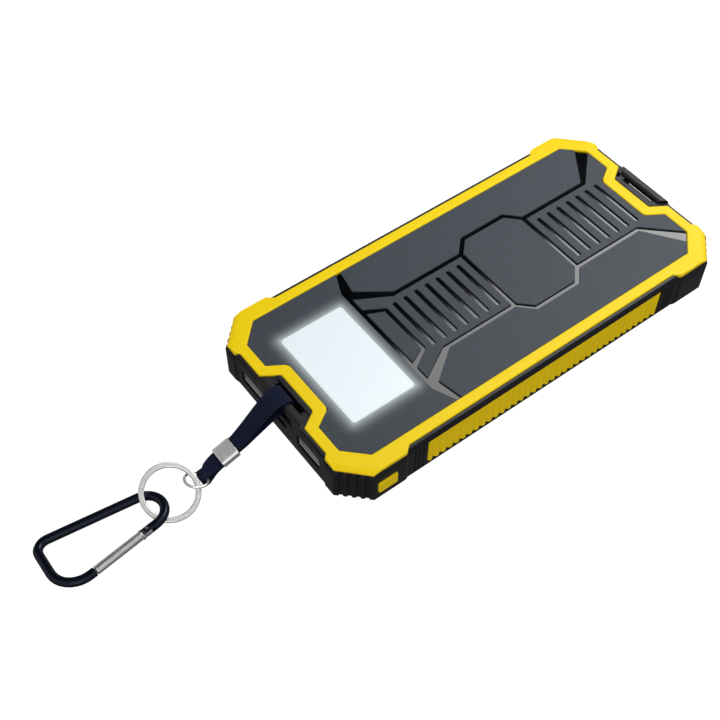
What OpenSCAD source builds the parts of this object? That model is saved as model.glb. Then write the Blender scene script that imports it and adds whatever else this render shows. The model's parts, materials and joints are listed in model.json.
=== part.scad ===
/* [Case] */
// Half of the width over the corner bumpers
bumper_half_width = 43.2; // [42.9:0.1:43.6]
// Half of the length over the corner bumpers
bumper_half_length = 90.2; // [89.9:0.1:90.6]
// Height from the resting face to the top of the upper frame
frame_top = 18; // [18:0.1:18.6]
// Height of the line where the two shells meet
split_z = 9; // [8.8:0.1:9.2]
// Wall thickness of both shells
wall = 2; // [1.8:0.1:2.2]

/* [Frames and face] */
// Half of the width of the coloured frames at the corners
frame_half_width = 42.7; // [42.5:0.1:42.8]
// Half of the length of the coloured frames at the corners
frame_half_length = 89.6; // [89.3:0.1:89.7]
// Half of the width of the face panel
face_half_width = 36; // [35.6:0.1:36.2]
// Half of the length of the face panel
face_half_length = 83.8; // [83.4:0.1:84]
// Width of the grooves between the face plates
groove_w = 1.8; // [1.4:0.1:2]
// Number of slots in each slotted plate
slot_count = 7; // [5:1:7]
// Distance from one slot to the next
slot_pitch = 5.1; // [5:0.05:5.15]

/* [Lamp] */
// Width of the lamp lens
lens_w = 44.3; // [42:0.1:45]
// Length of the lamp lens
lens_l = 26.8; // [25:0.1:27]
// Distance of the lens's middle from the middle of the case
lens_y = -59.7; // [-60:0.1:-59.4]

/* [Ports and button] */
// Distance of each large port from the middle
usb_x = 17.3; // [16.5:0.1:18]
// Travel of the power button
button_travel = 0.4; // [0.2:0.05:0.5]

/* [Side grips] */
// Number of ribs on each side grip
rib_count = 37; // [31:2:39]
// Distance from one rib to the next
rib_pitch = 3.05; // [2.9:0.05:3.05]

/* [Lanyard] */
// Thickness of the webbing
strap_t = 1; // [0.8:0.1:1]
// Width of the webbing where it wraps the lanyard bar
strap_w = 8.8; // [7:0.1:9]
// Width of the webbing inside the crimp
strap_crimped_w = 6.6; // [6:0.1:7]
// Thickness of the carabiner's rod
rod_d = 3.4; // [3.2:0.1:3.5]

/* [Hidden] */
$fn = 48;
eps = 0.01;

// Heights, from the resting face up
cover_z = 0.3;
cell_z = 1.1;
backing_z = 1.3;
floor_z = 1.9;
floor_top = 3.1;
board_z = 4.25;
board_top = 5.45;
deck_z = 15;
deck_top = 16.2;
plate_z = 17;
plate_top = 17.7;
rim_top = 17.4;
lens_top = 18.2;
bar_top = 18.9;
shell_foot = 0.5;
shoulder_z = 14.9;

// Corners of a shape with two mirror planes, from the corners of one quarter
function four_ways(q) = let(n = len(q)) concat(
    q,
    [for (i = [n - 1:-1:0]) [q[i].x, -q[i].y, q[i].z]],
    [for (p = q) [-p.x, -p.y, p.z]],
    [for (i = [n - 1:-1:0]) [-q[i].x, q[i].y, q[i].z]]);

// Points of a closed outline whose corners are [x, y, radius]
function unit(v) = v / norm(v);
function corner(a, b, c, r) = r <= 0 ? [b] :
    let(u = unit(a - b), w = unit(c - b), half = acos(u * w) / 2, reach = r / tan(half),
        centre = b + unit(u + w) * r / sin(half),
        s = b + u * reach - centre, e = b + w * reach - centre,
        from = atan2(s.y, s.x), turn = (atan2(e.y, e.x) - from + 540) % 360 - 180,
        n = ceil(abs(turn) / 15))
    [for (i = [0:n]) centre + r * [cos(from + turn * i / n), sin(from + turn * i / n)]];
function flat2(p) = [p.x, p.y];
function outline(p) = let(n = len(p)) [for (i = [0:n - 1])
    each corner(flat2(p[(i + n - 1) % n]), flat2(p[i]), flat2(p[(i + 1) % n]), p[i].z)];
function box_outline(w, l, r, y = 0) = outline([[w / 2, y + l / 2, r], [w / 2, y - l / 2, r],
    [-w / 2, y - l / 2, r], [-w / 2, y + l / 2, r]]);

// The same corners moved outwards by d, keeping the sides parallel
function turned(a, b) = let(t = unit(flat2(b) - flat2(a))) [-t.y, t.x];
function grown(p, d) = let(n = len(p)) [for (i = [0:n - 1])
    let(m = turned(p[(i + n - 1) % n], p[i]), k = turned(p[i], p[(i + 1) % n]),
        q = flat2(p[i]) + (m + k) * d / (1 + m * k))
    [q.x, q.y, p[i].z]];

// Outer edge of the coloured frames: wide at the corners, a notch at each end
notch_in = 9.6;
notch_out = 13.7;
notch_y = frame_half_length - 8;
end_y = frame_half_length - 1.6;
waist_x = frame_half_width - 2.3;
frame_quarter = [
    [notch_in, notch_y, 1.2], [notch_out, end_y, 0.6], [26.2, end_y, 0.7],
    [27.8, frame_half_length, 0.7], [32.6, frame_half_length, 0.7],
    [frame_half_width, frame_half_length - 9.6, 0.7], [frame_half_width, 66, 0.7],
    [waist_x, 63.2, 0.7]];

// Inner edge of the frames, which is the edge of the face and of the solar panel
face_corner = 7.9;
face_notch_y = face_half_length - 7;
face_quarter = [
    [11.9, face_notch_y, 3], [16.3, face_half_length, 0.6],
    [face_half_width - face_corner, face_half_length, 0.6],
    [face_half_width, face_half_length - face_corner, 0.6]];

// Outer edge of the shells
wall_x = bumper_half_width - 0.5;
wall_y = bumper_half_length - 0.7;
bumper_cut = 10.1;
shell_quarter = [
    [27, wall_y, 0.5], [28.2, bumper_half_length, 0.5],
    [bumper_half_width - bumper_cut, bumper_half_length, 0.8],
    [bumper_half_width, bumper_half_length - bumper_cut, 0.8],
    [bumper_half_width, 66.4, 0.5], [wall_x, 65.4, 0.5]];

// Edge of the raised rim, which passes under the frame at the corners
rim_x = waist_x + 1.2;
rim_quarter = [[27, wall_y - 0.3, 0.2], [27.4, 86, 0.2], [32, 84, 0.2], [38.5, 77, 0.2],
    [38.5, 65.6, 0.2], [wall_x, 65, 0.2]];

module slab(points, from, to) {
    translate([0, 0, from]) linear_extrude(to - from) polygon(points);
}
module brick(size, at) {
    translate([at.x - size.x / 2, at.y - size.y / 2, at.z]) cube(size);
}
module both_ends() {
    children();
    mirror([0, 1, 0]) children();
}
module both_sides() {
    children();
    mirror([1, 0, 0]) children();
}

/* Places shared by several pieces */
front_y = -wall_y;
usb_z = board_top;
usb_lip_y = front_y + 0.85;
micro_lip_y = front_y + 1.5;
usb_w = 13.2;
usb_h = 5.7;
micro_z = 6.95;
micro_w = 7.5;
micro_h = 2.5;
button_y = -74.4;
button_z = 8;
button_l = 8.2;
button_h = 5.7;
screw_at = [[35, -81.5], [-35, -81.5], [35, 80.5], [-35, 80.5], [38.2, 12], [-38.2, 12]];

// The lanyard bar, its slot and the pocket under it
bar_y = 87.7;
bar_z = 17.25;
bar_half_y = 1.8;
bar_half_z = bar_top - bar_z;
bar_cut = 0.75;
slot_half_x = 7.7;
slot_y = 83.6;
pocket_z = 12.2;
bar_under = 2 * bar_z - bar_top;

// Cuts the corner off an edge running from a to b, at height z, on the side s (1 top, -1 foot)
module edge_cut(a, b, z, run, rise, s) {
    t = unit(b - a);
    translate([a.x, a.y, z]) rotate([0, 0, atan2(t.y, t.x)]) rotate([90, 0, 90])
        translate([0, 0, -0.5]) linear_extrude(norm(b - a) + 1)
            polygon([[-1.5 * run, 0.5 * s * rise], [0.5 * run, -1.5 * s * rise],
                [0.5 * run, 0.5 * s * rise]]);
}
module bumper_edge_cuts(z, run, rise, s) {
    k = bumper_half_width - bumper_cut;
    edge_cut([27, bumper_half_length], [k, bumper_half_length], z, run, rise, s);
    edge_cut([k, bumper_half_length], [bumper_half_width, bumper_half_length - bumper_cut],
        z, run, rise, s);
    edge_cut([bumper_half_width, bumper_half_length - bumper_cut], [bumper_half_width, 65.4],
        z, run, rise, s);
}

// Slots between the flat ribs across each corner
module rib_grooves() {
    rib_pitch_corner = 3.07;
    for (i = [-1.5:1:1.5])
        translate([bumper_half_width - bumper_cut / 2, bumper_half_length - bumper_cut / 2, 0])
            rotate([0, 0, 45]) translate([0, i * rib_pitch_corner, 0])
                brick([2, 1.5, frame_top + 1], [0, 0, -0.5]);
}

module side_grooves() {
    for (y = [58.6, 60.4, 62.2])
        brick([0.7, 0.8, 12.6], [wall_x, y, 2.3]);
}

grip_l = rib_count * rib_pitch;
module grip_recess() {
    brick([2.5, grip_l + 0.2, 12.4], [wall_x, 0, 2.7]);
}

module port_openings() {
    for (s = [-1, 1])
        translate([s * usb_x, front_y, usb_z + usb_h / 2]) rotate([90, 0, 0])
            linear_extrude(6, center = true) polygon(box_outline(usb_w + 0.4, usb_h + 0.4, 0.7));
    translate([0, front_y, micro_z + micro_h / 2]) rotate([90, 0, 0])
        linear_extrude(6, center = true)
            polygon(box_outline(micro_w + 0.4, micro_h + 0.4, 0.7));
}

module button_opening() {
    translate([wall_x, button_y, button_z]) rotate([0, 90, 0])
        linear_extrude(4, center = true)
            polygon(box_outline(button_h + 0.2, button_l + 0.2, 0.8));
}

// The bar's section across its length, on the y and z axes
module bar_section() {
    y = bar_half_y;
    z = bar_half_z;
    polygon([[-y + bar_cut, -z], [y - bar_cut, -z], [y, -z + bar_cut], [y, z - bar_cut],
        [y - bar_cut, z], [-y + bar_cut, z], [-y, z - bar_cut], [-y, -z + bar_cut]]);
}

// The bar across the notch, joined to the solid corners beside the pocket
module lanyard_bar() {
    intersection() {
        translate([-notch_out, bar_y, bar_z]) rotate([90, 0, 90])
            linear_extrude(2 * notch_out) bar_section();
        slab([[-notch_in, 85.2], [notch_in, 85.2], [notch_out - 0.2, 90.5],
            [-notch_out + 0.2, 90.5]], bar_under - 1, bar_top + 1);
    }
}

// Solid around the pocket: its walls, its floor and the lip beside the frame
module notch_block() {
    brick([2 * slot_half_x + 4, wall_y - notch_y + 1.4, deck_top - pocket_z + 1.4],
        [0, (wall_y + notch_y - 1.4) / 2, pocket_z - 1.4]);
    slab([[-notch_in + 0.1, notch_y + 0.1], [notch_in - 0.1, notch_y + 0.1],
        [notch_out - 0.2, 88.2], [notch_out - 0.2, wall_y], [-notch_out + 0.2, wall_y],
        [-notch_out + 0.2, 88.2]], deck_top - 0.5, rim_top);
    slab([[-notch_in + 0.1, notch_y + 0.1], [notch_in - 0.1, notch_y + 0.1],
        [notch_in + 0.9, slot_y], [-notch_in - 0.9, slot_y]], rim_top - 0.5, frame_top);
}
module notch_cuts() {
    brick([2 * slot_half_x, bar_y - bar_half_y - slot_y, 10],
        [0, (bar_y - bar_half_y + slot_y) / 2, pocket_z]);
    brick([2 * slot_half_x, 9, bar_under - pocket_z + 0.6],
        [0, slot_y + 4.5, pocket_z]);
    brick([2 * slot_half_x, 3 + 2 * bar_half_y, 6], [0, bar_y + 1.5, bar_under]);
}

// Screws come up from below, under the lower frame, into posts of the upper shell
screw_r = 1;
screw_head_r = 1.7;
post_r = 2.4;
module screw_posts() {
    for (p = screw_at)
        translate([p.x, p.y, split_z - 3]) cylinder(r = post_r, h = deck_z + 0.5 - split_z + 3);
}
module screw_pilots() {
    for (p = screw_at)
        translate([p.x, p.y, split_z - 4]) cylinder(r = screw_r + 0.03, h = 8);
}

// The band where the seal sits, midway in the walls
function seal_ring(d) = outline(grown(four_ways(shell_quarter), d));

module upper_shell() {
    color("#17181d") difference() {
        union() {
            difference() {
                slab(outline(four_ways(shell_quarter)), split_z, deck_top);
                slab(outline(grown(four_ways(shell_quarter), -wall)), split_z - 1, deck_z);
            }
            difference() {
                slab(outline(four_ways(rim_quarter)), deck_top - 0.3, rim_top);
                slab(outline(four_ways(frame_quarter)), deck_top, rim_top + 1);
            }
            both_ends() notch_block();
            screw_posts();
            lamp_posts();
        }
        difference() {
            slab(seal_ring(-1.35), split_z - 1, split_z + 0.4);
            slab(seal_ring(-1.75), split_z - 2, split_z + 1);
        }
        screw_pilots();
        both_sides() {
            both_ends() {
                rib_grooves();
                side_grooves();
                bumper_edge_cuts(deck_top, 0.65, 1.1, 1);
            }
            grip_recess();
            edge_cut([wall_x, 65], [wall_x, -65], rim_top, wall_x - rim_x, rim_top - shoulder_z, 1);
        }
        port_openings();
        button_opening();
        both_ends() notch_cuts();
        slab(box_outline(lens_w - 3, lens_l - 3, 1, lens_y), deck_z - 1, deck_top + 1);
    }
    color("#17181d") both_ends() lanyard_bar();
}

module lower_shell() {
    color("#17181d") difference() {
        union() {
            difference() {
                slab(outline(four_ways(shell_quarter)), shell_foot, split_z);
                slab(outline(grown(four_ways(shell_quarter), -wall)), floor_top, split_z + 1);
            }
            for (p = screw_at)
                translate([p.x, p.y, floor_z]) cylinder(r = post_r + 0.5, h = split_z - 3 - floor_z);
            for (x = [-26, 26], y = [-55, -72])
                translate([x, y, floor_top - 0.5]) cylinder(r = 2, h = board_z - floor_top + 0.5);
        }
        slab(outline(grown(four_ways(frame_quarter), -0.85)), shell_foot - 1, floor_z);
        for (p = screw_at) {
            translate([p.x, p.y, floor_z - 1]) cylinder(r = screw_head_r + 0.1, h = 3.1);
            translate([p.x, p.y, floor_z]) cylinder(r = screw_r + 0.08, h = 8);
        }
        difference() {
            slab(seal_ring(-1.35), split_z - 0.4, split_z + 1);
            slab(seal_ring(-1.75), split_z - 1, split_z + 2);
        }
        both_sides() {
            both_ends() {
                rib_grooves();
                side_grooves();
                bumper_edge_cuts(shell_foot, 0.7, 0.9, -1);
            }
            grip_recess();
            edge_cut([wall_x, 65], [wall_x, -65], shell_foot, 0.9, 0.9, -1);
            translate([3, wire_hole_y, floor_z - 1]) cylinder(r = 1, h = 4);
        }
        port_openings();
        button_opening();
    }
}

module shell_seal() {
    color("#2a2b30") difference() {
        slab(seal_ring(-1.38), split_z - 0.4, split_z + 0.4);
        slab(seal_ring(-1.72), split_z - 2, split_z + 2);
        port_openings();
        button_opening();
    }
}

module case_screws() {
    color("#9a9ca0") for (p = screw_at) translate([p.x, p.y, 0]) difference() {
        union() {
            translate([0, 0, 2.6]) cylinder(r = screw_head_r, h = 1.4);
            translate([0, 0, 3.9]) cylinder(r = screw_r, h = 8);
        }
        translate([0, 0, 2]) cylinder(r = 0.75, h = 1.3, $fn = 6);
    }
}

// One coloured frame, seen from above
module frame_ring(from, to, d = 0) {
    difference() {
        slab(outline(grown(four_ways(frame_quarter), d)), from, to);
        slab(outline(grown(four_ways(face_quarter), 0.05)), from - 1, to + 1);
    }
}
// Wide facet across the outside of each corner
module corner_facet() {
    a = [32.6, frame_half_length];
    b = [frame_half_width, frame_half_length - 9.6];
    edge_cut(a + (a - b) / 2, b + (b - a) / 2, frame_top, 2.3, 1.3, 1);
}
module upper_frame() {
    color("#f9d616") difference() {
        frame_ring(deck_top, frame_top);
        both_sides() both_ends() corner_facet();
    }
}
module lower_frame() {
    color("#f9d616") frame_ring(0, floor_z, -0.9);
}

module face_base() {
    color("#0b0c10") difference() {
        slab(outline(four_ways(face_quarter)), deck_top, plate_z);
        slab(box_outline(lens_w + 0.1, lens_l + 0.1, 1.2, lens_y), deck_top - 1, plate_z + 1);
    }
}

// Half outlines of the face plates, right of the middle
near_gap_y = -40.7;
lamp_edge_y = -42.5;
groove_x = 15.55;
octagon_half = [[0, 37.6], [15.6, 37.6], [21.35, 32.1], [21.35, 11.7], [15.6, 6], [0, 6]];
function mirrored(h) = let(n = len(h)) [for (i = [0:2 * n - 1])
    i < n ? h[i] : [-h[2 * n - 1 - i].x, h[2 * n - 1 - i].y]];
function sharp(p) = [for (q = p) [q.x, q.y, 0]];

module plate(points) {
    slab(points, plate_z, plate_top);
}
module slots(first, pitch) {
    for (i = [0:slot_count - 1])
        translate([0, first + i * pitch, plate_z - 1]) linear_extrude(3) {
            square([slot_half_l * 2 - slot_w, slot_w], center = true);
            for (s = [-1, 1]) translate([s * (slot_half_l - slot_w / 2), 0]) circle(d = slot_w);
        }
}
slot_half_l = 12.2;
slot_w = 1.8;

module lamp_plate() {
    color("#464b57") difference() {
        plate(mirrored([[11.9, -face_notch_y], [16.3, -face_half_length],
            [face_half_width - face_corner, -face_half_length],
            [face_half_width, -face_half_length + face_corner], [face_half_width, -38.4],
            [28.3, -41.9], [26.7, lamp_edge_y]]));
        slab(box_outline(lens_w + 0.1, lens_l + 0.1, 1.2, lens_y), plate_z - 1, plate_top + 1);
    }
}

module lamp_trim_plate() {
    color("#464b57") plate(mirrored([[13.65, near_gap_y], [10.7, -34.5]]));
}

module front_slotted_plate() {
    color("#464b57") difference() {
        plate(mirrored([[groove_x - groove_w / 2, 6 - groove_w / 2],
            [groove_x - groove_w / 2, -27.4], [22.2, near_gap_y], [16.2, near_gap_y],
            [11.55, -32.9]]));
        slots(-29.3, slot_pitch);
    }
}

module centre_plate() {
    color("#464b57")
        plate([for (q = grown(sharp(mirrored([for (i = [1:4]) octagon_half[i]])), -groove_w / 2))
            flat2(q)]);
}

module rear_slotted_plate() {
    color("#464b57") difference() {
        plate(mirrored([[11.9, face_notch_y], [16.3, face_half_length],
            [27.6, face_half_length], [15, 70.7], [groove_x - groove_w / 2, 70],
            [groove_x - groove_w / 2, 37.6 + groove_w / 2]]));
        slots(72.9 - (slot_count - 1) * slot_pitch, slot_pitch);
    }
}

module side_plate() {
    color("#464b57") plate([
        [groove_x + groove_w / 2, 69.4], [31.7, 80.2],
        [face_half_width, face_half_length - face_corner], [face_half_width, -36.4],
        [25.6, -38.4], [groove_x + groove_w / 2, -25.9], [groove_x + groove_w / 2, 5.65],
        [21.35 + groove_w / 2, 11.35], [21.35 + groove_w / 2, 32.5],
        [groove_x + groove_w / 2, 37.95]]);
}
module left_face_plate() {
    mirror([1, 0, 0]) side_plate();
}
module right_face_plate() {
    side_plate();
}

/* The lamp */
lamp_board_z = 12.6;
lamp_board_top = 13.4;
lamp_post_x = lens_w / 2 + 0.4;
lamp_post_y = lens_l / 2 + 0.3;
module lamp_posts() {
    for (x = [-lamp_post_x, lamp_post_x], y = [-lamp_post_y, lamp_post_y])
        translate([x, lens_y + y, lamp_board_top]) cylinder(r = 1.1, h = deck_z - lamp_board_top + 0.5);
}

module lamp_lens() {
    color("#f4fbfc") difference() {
        slab(box_outline(lens_w, lens_l, 1.2, lens_y), deck_top, lens_top);
        slab(box_outline(lens_w - 3, lens_l - 3, 1, lens_y), deck_top - 1, lens_top - 0.9);
    }
}

module lamp_board() {
    color("#e9ebe6") difference() {
        slab(box_outline(lens_w + 3.4, lens_l + 3.2, 1, lens_y), lamp_board_z, lamp_board_top);
        for (x = [-4, 4])
            translate([x, lens_y + lens_l / 2, lamp_board_z - 1]) cylinder(r = 0.35, h = 3);
    }
}

module lamp_leds() {
    color("#fbf3c8") for (i = [-2.5:1:2.5], j = [-1.5:1:1.5])
        brick([2.8, 3.5, 0.8], [i * 6.4, lens_y + j * 5.6, lamp_board_top]);
}

/* The solar panel on the underside */
module solar_cover() {
    color("#1b2440") slab(outline(face_four(-0.15)), cover_z, cell_z);
}
function face_four(d) = grown(four_ways(face_quarter), d);
module solar_cells() {
    color("#141d3a") for (s = [-1, 1], j = [-2.5:1:2.5])
        brick([32.8, 23.8, backing_z - cell_z], [s * 17, j * 24.6, cell_z]);
}
module solar_backing() {
    color("#e6e6e0") difference() {
        slab(outline(face_four(-0.15)), backing_z, floor_z);
        for (x = [-3, 3])
            translate([x, wire_hole_y, backing_z - 1]) cylinder(r = 0.5, h = 3);
    }
}

/* Side grips */
module grip() {
    back = wall_x - 1.25;
    rib_r = 1.3;
    difference() {
        union() {
            brick([0.6, grip_l, 12.2], [back + 0.3, 0, 2.8]);
            for (i = [0:rib_count - 1])
                translate([back, (i - (rib_count - 1) / 2) * rib_pitch, 2.8])
                    cylinder(r = rib_r, h = 12.2, $fn = 32);
        }
        brick([4, grip_l + 4, 20], [back - 2, 0, 0]);
        brick([4, 2, 20], [back, grip_l / 2 + 1, 0]);
        brick([4, 2, 20], [back, -grip_l / 2 - 1, 0]);
    }
}
module left_grip() {
    color("#f9d616") mirror([1, 0, 0]) grip();
}
module right_grip() {
    color("#f9d616") grip();
}

/* Battery */
cell_w = 33.8;
cell_l = 110;
cell_h = 8.4;
battery_y = 13;
battery_z = floor_top + 0.8;
module cell() {
    brick([cell_w, cell_l, cell_h], [cell_w / 2 + 0.8, battery_y, battery_z]);
    for (x = [-4, 4])
        brick([3, 2.5, 0.4], [cell_w / 2 + 0.8 + x, battery_y - cell_l / 2 - 1.2, battery_z + 6]);
}
module battery_left() {
    color("#b9bec4") mirror([1, 0, 0]) cell();
}
module battery_right() {
    color("#b9bec4") cell();
}
module battery_pads() {
    color("#33363c") for (s = [-1, 1], y = [-40, 0, 40])
        brick([26, 14, 0.8], [s * 17.7, battery_y + y, floor_top]);
}

/* Boards and ports */
module main_board() {
    color("#1d5a3a") slab([[-30.4, -86.6], [30.4, -86.6], [30.4, -77.9], [38.6, -77.9],
        [38.6, -50], [-38.6, -50], [-38.6, -77.9], [-30.4, -77.9]], board_z, board_top);
}

usb_deep = 14;
shell_t = 0.35;
module usb_shell() {
    translate([0, usb_lip_y, usb_z + usb_h / 2]) rotate([-90, 0, 0]) difference() {
        linear_extrude(usb_deep) polygon(box_outline(usb_w, usb_h, 0.5));
        translate([0, 0, -1]) linear_extrude(usb_deep + 2)
            polygon(box_outline(usb_w - 2 * shell_t, usb_h - 2 * shell_t, 0.2));
    }
}
module usb_shell_left() {
    color("#c9cbd0") translate([-usb_x, 0, 0]) usb_shell();
}
module usb_shell_right() {
    color("#c9cbd0") translate([usb_x, 0, 0]) usb_shell();
}

tongue_w = 11.1;
tongue_t = 1.84;
module usb_core() {
    block_y = usb_lip_y + usb_deep - 4;
    brick([usb_w - 2 * shell_t - 0.04, 4, usb_h - 2 * shell_t - 0.04],
        [0, block_y + 2, usb_z + shell_t + 0.02]);
    brick([tongue_w, usb_deep - 4.3, tongue_t],
        [0, usb_lip_y + 0.4 + (usb_deep - 4.3) / 2, usb_z + usb_h / 2 - tongue_t / 2]);
}
module usb_core_left() {
    color("#e4e4de") translate([-usb_x, 0, 0]) usb_core();
}
module usb_core_right() {
    color("#e4e4de") translate([usb_x, 0, 0]) usb_core();
}

micro_deep = 5;
module micro_section(d) {
    a = micro_w / 2 - d;
    b = 5.5 / 2 - d;
    h = micro_h;
    polygon([[-a, h - d], [a, h - d], [a, 0.9], [b, d], [-b, d], [-a, 0.9]]);
}
module micro_usb_shell() {
    color("#c9cbd0") translate([0, micro_lip_y, micro_z]) rotate([90, 0, 0]) difference() {
        translate([0, 0, -micro_deep]) linear_extrude(micro_deep) micro_section(0);
        translate([0, 0, -micro_deep - 1]) linear_extrude(micro_deep + 2) micro_section(0.3);
    }
}
module micro_usb_core() {
    back_y = micro_lip_y + micro_deep;
    color("#26272b") union() {
        brick([5.2, micro_deep - 0.8, micro_z - board_top], [0, back_y - 2, board_top]);
        brick([5.2, 1.2, micro_z + micro_h - board_top], [0, back_y + 0.6, board_top]);
        brick([3.6, micro_deep - 0.6, 0.6], [0, back_y - 2.1, micro_z + 1.2]);
    }
}

/* Parts on the main board */
module charge_chips() {
    color("#202226") {
        for (x = [-26, 26]) brick([5, 4, 1.1], [x, -60, board_top]);
        brick([7, 7, 1], [0, -66, board_top]);
        brick([4.4, 4.4, 0.9], [-9, -57, board_top]);
    }
}
module coils() {
    color("#3a3a3c") for (x = [-32, 32, 9]) translate([x, -66 + abs(x) / 8, board_top])
        union() {
            brick([7, 7, 0.8], [0, 0, 0]);
            cylinder(r = 2.6, h = 3.6);
            translate([0, 0, 3.4]) cylinder(r = 3.3, h = 0.6);
        }
}
module capacitors() {
    color("#c0b08a") for (x = [-20, -14, 14, 20])
        translate([x, -54.5, board_top]) cylinder(r = 1.9, h = 4.8);
}

/* Button and switch */
button_face = bumper_half_width + 0.6;
flange_x = bumper_half_width - wall - 0.1;
switch_front = flange_x - 1.6;
module power_button() {
    color("#f9d616") union() {
        translate([flange_x - 0.1, button_y, button_z]) rotate([90, 0, 90])
            linear_extrude(button_face - flange_x + 0.1)
                polygon(box_outline(button_l, button_h, 0.8));
        translate([flange_x - 0.6, button_y, button_z]) rotate([90, 0, 90])
            linear_extrude(0.6) polygon(box_outline(button_l + 1.4, button_h - 0.6, 0.5));
    }
}
module switch_plunger() {
    color("#e4e4de") translate([switch_front - 1.2, button_y, button_z]) rotate([0, 90, 0])
        cylinder(r = 1, h = flange_x - 0.6 - switch_front + 1.2);
}
module power_switch() {
    color("#2b2c31") difference() {
        brick([3.4, 6, 5.2], [switch_front - 1.7, button_y, board_top]);
        translate([switch_front - 2, button_y, button_z]) rotate([0, 90, 0])
            cylinder(r = 1.06, h = 4);
    }
}

/* Bands and wires follow a route of [y, z, x, width, thickness] */
function across(w, t) = let(a = w / 2, b = t / 2, c = min(a, b) * 0.6) [[a, b - c], [a - c, b],
    [c - a, b], [-a, b - c], [-a, c - b], [c - a, -b], [a - c, -b], [a, c - b]];
module route_band(r) {
    n = len(r);
    pts = [for (i = [0:n - 1])
        let(p = r[max(i - 1, 0)], q = r[min(i + 1, n - 1)],
            t = unit([q[0] - p[0], q[1] - p[1]]), s = across(r[i][3], r[i][4]))
        for (c = s) [r[i][2] + c.x, r[i][0] - t.y * c.y, r[i][1] + t.x * c.y]];
    polyhedron(points = pts, faces = concat(
        [[for (k = [0:7]) k], [for (k = [0:7]) 8 * n - 1 - k]],
        [for (i = [0:n - 2], k = [0:7])
            [8 * i + k, 8 * i + 8 + k, 8 * i + 8 + (k + 1) % 8, 8 * i + (k + 1) % 8]]));
}
function wire_route(p, x, d) = [for (q = p) [q.x, q.y, x, d, d]];

module battery_wires() {
    color("#a8231f") for (s = [-1, 1], x = [-4, 4])
        route_band(wire_route([[-44.12, battery_z + 6.4], [-44.12, battery_z + 7], [-44.8, 10.9],
            [-46.8, 11.6], [-49.5, 11.2], [-51.6, 8.6], [-51.6, board_top]],
            s * (cell_w / 2 + 0.8 + x), 1.2));
}
module lamp_wires() {
    color("#e6e6e0") for (x = [-6.5, 6.5])
        route_band(wire_route([[-49, lamp_board_z], [-49, 11.4], [-50.5, 9.8], [-53, 8.2],
            [-53, board_top]], x, 1));
}
wire_hole_y = -45.6;
module solar_wires() {
    color("#a8231f") for (x = [-3, 3])
        route_band(wire_route([[wire_hole_y, floor_z], [wire_hole_y, 5], [-46.2, 7.6],
            [-48.5, 9], [-52, 7.8], [-52, board_top]], x, 1));
}

/* Lanyard: the webbing goes round the bar, through the crimp and round the small ring */
strap_x = -1.5;
strap_end_w = 4.71;
strap_route = [
    [-86.5, 14.97, strap_x, strap_w], [-88.4, 14.95, strap_x, 8.6], [-90.4, 14.8, strap_x, 8.4],
    [-92.6, 14.1, -1.4, 8], [-95.5, 12.7, -1.3, 7.6], [-98.5, 11.2, -1.2, 7.3],
    [-102, 9.5, -1.1, 7], [-105, 8.05, -1, 6.8], [-108, 7.05, -0.9, strap_crimped_w],
    [-111.5, 6, -0.7, strap_crimped_w], [-115.2, 4.9, -0.4, strap_crimped_w],
    [-118, 3.9, -0.1, 6.4], [-120.4, 1.6, 0.3, 5.56], [-121.59, 0.6, 0.85, strap_end_w],
    [-122.89, 0.72, 0.85, strap_end_w], [-123.47, 1.35, 0.85, strap_end_w],
    [-123.47, 3.86, 0.85, strap_end_w], [-122.89, 4.49, 0.85, strap_end_w],
    [-121.59, 4.61, 0.85, strap_end_w], [-120.2, 4.86, 0.3, 5.56], [-117.8, 5.35, -0.1, 6.4], [-115.2, 6, -0.4, strap_crimped_w],
    [-111.5, 7.13, -0.7, strap_crimped_w], [-108, 8.2, -0.9, strap_crimped_w],
    [-105.5, 9.5, -1, 6.8], [-102.5, 11.6, -1.1, 7], [-99, 14.2, -1.2, 7.3],
    [-96, 16.4, -1.3, 7.6], [-93, 18.3, -1.4, 8], [-91, 19.2, strap_x, 8.2],
    [-89.3, 19.5, strap_x, 8.5], [-87.6, 19.5, strap_x, strap_w],
    [-86.2, 19.25, strap_x, strap_w], [-85.4, 18.5, strap_x, strap_w],
    [-85.3, 17.2, strap_x, strap_w], [-85.35, 16.1, strap_x, strap_w],
    [-85.75, 15.35, strap_x, strap_w]];
module strap() {
    color("#04122b") route_band([for (p = strap_route) concat(p, [strap_t])]);
}

crimp_tilt = 16.7;
module strap_crimp() {
    color("#d6d8da") translate([-0.65, -111.7, 6.5]) rotate([90 + crimp_tilt, 0, 0])
        difference() {
            linear_extrude(7, center = true) polygon(box_outline(7.9, 3.6, 1.3));
            linear_extrude(9, center = true) polygon(box_outline(6.75, 2.35, 0.4));
        }
}

/* Rings: each stands at its own place and leans its own way */
small_ring_at = [0.78, -125.25, 3.66];
small_ring_lean = 22.02;
small_ring_turn = 117.8;
module small_ring() {
    color("#e8e8e8") translate(small_ring_at) rotate([0, small_ring_lean, small_ring_turn])
        rotate_extrude() translate([4.15, 0]) circle(r = 0.5, $fn = 16);
}

split_ring_at = [-0.2, -135.2, 4.05];
split_ring_roll = 19.2;
module split_ring() {
    color("#e8e8e8") translate(split_ring_at) rotate([0, split_ring_roll, 0])
        rotate_extrude() translate([9.75, 0])
            polygon([[-0.7, -0.7], [0.7, -0.7], [1, -0.45], [1, -0.1], [0.85, 0], [1, 0.1],
                [1, 0.45], [0.7, 0.7], [-0.7, 0.7], [-1, 0.45], [-1, -0.45]]);
}

/* Carabiner: drawn flat, then rolled so that its gate side stands higher */
carabiner_roll = 8.9;
carabiner_z = 3.55;
small_arc = [1.2, -146.2, 7];
wide_arc = [3, -173.5, 9];
back_arc = [-6.3, -178, 4.3];
gate_y = -149.1;
nose_y = -170.6;

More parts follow.
